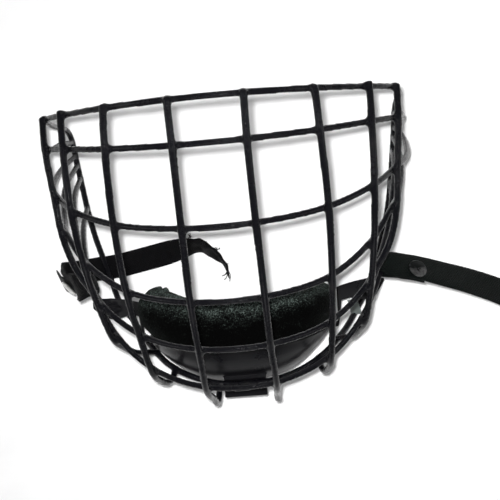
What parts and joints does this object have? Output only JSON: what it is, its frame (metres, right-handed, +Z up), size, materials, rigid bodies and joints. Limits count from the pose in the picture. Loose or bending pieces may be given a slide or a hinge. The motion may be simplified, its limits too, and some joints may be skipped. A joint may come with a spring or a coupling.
{
  "type": "hockey face mask cage",
  "caption": "Wire hockey face mask cage lying on its back, with padded chin cup and two chin strap ends.",
  "frame": {"origin": "bottom centre of the whole object's bounding box, on the floor that the mask lies on", "axes": "+Z up, the way the wearer's face would look; +Y from the chin to the forehead; +X to the right seen from the front"},
  "size_m": [0.2898, 0.1828, 0.1638],
  "materials": {
    "coated_wire": "gloss",
    "cup_plastic": "gloss",
    "pad_foam": "matte",
    "clear_plastic": "satin",
    "black_webbing": "matte",
    "green_webbing": "matte",
    "snap_metal": "satin"
  },
  "bodies": {
    "root": {"wire_cage": "coated_wire", "chin_cup": "cup_plastic", "chin_pad": "pad_foam", "arm_clip": "clear_plastic", "strap_left": "black_webbing", "strap_right": "green_webbing", "snap_left": "snap_metal", "snap_right": "snap_metal"}
  },
  "joints": []
}
